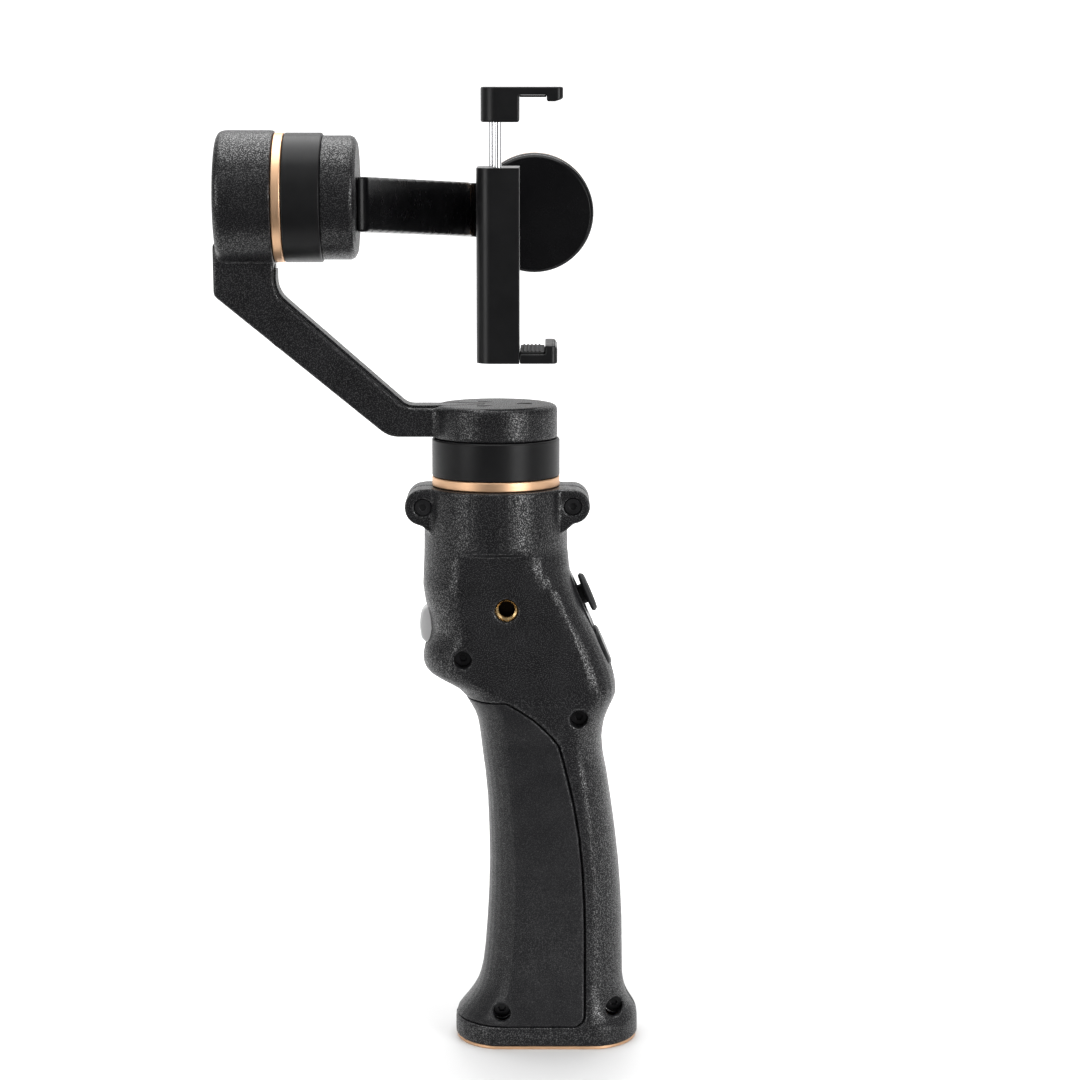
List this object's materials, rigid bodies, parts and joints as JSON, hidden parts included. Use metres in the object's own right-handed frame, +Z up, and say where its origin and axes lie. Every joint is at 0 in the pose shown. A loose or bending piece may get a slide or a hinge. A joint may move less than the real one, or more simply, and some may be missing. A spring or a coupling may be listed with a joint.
{
  "type": "handheld phone gimbal stabilizer",
  "caption": "Handheld motorised phone stabilizer: split pistol grip, pan, roll and tilt motors on bent arms, sprung phone clamp, joystick, mode button and trigger.",
  "frame": {"origin": "pan axis where it meets the floor plane that the foot stands on", "axes": "+Z up along the pan axis, +X towards the thumb side and the phone's screen, +Y towards the tilt motor"},
  "size_m": [0.1331, 0.1349, 0.3024],
  "materials": {
    "textured_black": "coarse sand-textured black coat with fine bright specks",
    "grip_black": "fine matte grain",
    "gold_anodised": "champagne gold anodised, satin",
    "black_screw": "black oxide",
    "brass_insert": "bright turned brass",
    "smooth_black": "satin moulded",
    "cell_wrap": "shrink wrap",
    "spring_steel": "bright",
    "circuit_board": "solder mask",
    "grey_key": "light grey satin",
    "rubber_black": "matte",
    "gloss_black": "smooth, semi-gloss",
    "satin_black": "satin black anodised",
    "chrome_rod": "polished",
    "anodised_black": "satin black anodised",
    "motor_iron": "laminated steel",
    "copper_wire": "enamelled copper wire"
  },
  "bodies": {
    "handle": {"left_handle_shell": "textured_black", "right_handle_shell": "textured_black", "grip_cover": "grip_black", "base_plate": "gold_anodised", "handle_screws": "black_screw", "tripod_insert": "brass_insert", "control_panel": "smooth_black", "battery_cell": "cell_wrap", "battery_holder": "smooth_black", "battery_contacts": "spring_steel", "main_board": "circuit_board", "charging_port": "spring_steel", "thumb_board": "circuit_board", "joystick_module": "smooth_black", "mode_switch": "smooth_black", "trigger_switch": "smooth_black", "pan_motor_base": "gold_anodised", "pan_stator": "motor_iron", "pan_windings": "copper_wire", "pan_bearings": "spring_steel"},
    "trigger": {"trigger_button": "grey_key"},
    "mode_key": {"mode_button": "smooth_black"},
    "rocker": {"joystick_rocker": "spring_steel"},
    "joystick": {"joystick_cap": "rubber_black"},
    "yaw_frame": {"pan_rotor_can": "anodised_black", "pan_magnets": "motor_iron", "pan_shaft": "spring_steel", "yaw_arm": "textured_black", "yaw_arm_cover": "textured_black", "yaw_arm_cable": "rubber_black", "roll_motor_board": "circuit_board", "roll_motor_base": "gold_anodised", "roll_stator": "motor_iron", "roll_windings": "copper_wire", "roll_bearings": "spring_steel"},
    "roll_frame": {"roll_rotor_can": "anodised_black", "roll_magnets": "motor_iron", "roll_shaft": "spring_steel", "roll_hub": "textured_black", "roll_arm_bar": "gloss_black", "tilt_housing_cap": "gloss_black", "tilt_motor_board": "circuit_board", "tilt_motor_base": "gold_anodised", "tilt_stator": "motor_iron", "tilt_windings": "copper_wire", "tilt_bearings": "spring_steel"},
    "phone_frame": {"tilt_rotor_can": "anodised_black", "tilt_magnets": "motor_iron", "tilt_shaft": "spring_steel", "tilt_hub": "gloss_black", "clamp_bar": "satin_black", "clamp_body": "satin_black", "lower_jaw": "satin_black", "lower_jaw_pad": "rubber_black", "clamp_springs": "spring_steel", "imu_board": "circuit_board"},
    "jaw": {"upper_jaw": "satin_black", "upper_jaw_pad": "rubber_black", "guide_rods": "chrome_rod"}
  },
  "joints": [
    {"name": "pan", "type": "hinge", "parent": "handle", "child": "yaw_frame", "pos_m": [0, 0, 0.19], "axis": [0, 0, 1], "range_deg": [-160, 160]},
    {"name": "roll", "type": "hinge", "parent": "yaw_frame", "child": "roll_frame", "pos_m": [-0.06, 0, 0.2682], "axis": [1, 0, 0], "range_deg": [-45, 45]},
    {"name": "tilt", "type": "hinge", "parent": "roll_frame", "child": "phone_frame", "pos_m": [0.012, 0.095, 0.26], "axis": [0, 1, 0], "range_deg": [-40, 40]},
    {"name": "jaw_slide", "type": "slide", "parent": "phone_frame", "child": "jaw", "axis": [0, 0, 1], "range_m": [-0.0135, 0.006], "stiffness_N_per_m": 60, "springref_m": -0.03, "deforming": ["clamp_springs"]},
    {"name": "trigger_press", "type": "slide", "parent": "handle", "child": "trigger", "axis": [1, 0, 0], "range_m": [0, 0.0012], "stiffness_N_per_m": 400},
    {"name": "mode_press", "type": "slide", "parent": "handle", "child": "mode_key", "axis": [-0.919, 0, -0.3943], "range_m": [0, 0.0008], "stiffness_N_per_m": 400},
    {"name": "stick_up_down", "type": "hinge", "parent": "handle", "child": "rocker", "pos_m": [0.02024, 0, 0.14024], "axis": [0, 1, 0], "range_deg": [-8, 8], "stiffness_Nm_per_rad": 0.05},
    {"name": "stick_side", "type": "hinge", "parent": "rocker", "child": "joystick", "pos_m": [0.02024, 0, 0.14024], "axis": [0.3943, 0, -0.919], "range_deg": [-8, 8], "stiffness_Nm_per_rad": 0.05}
  ]
}
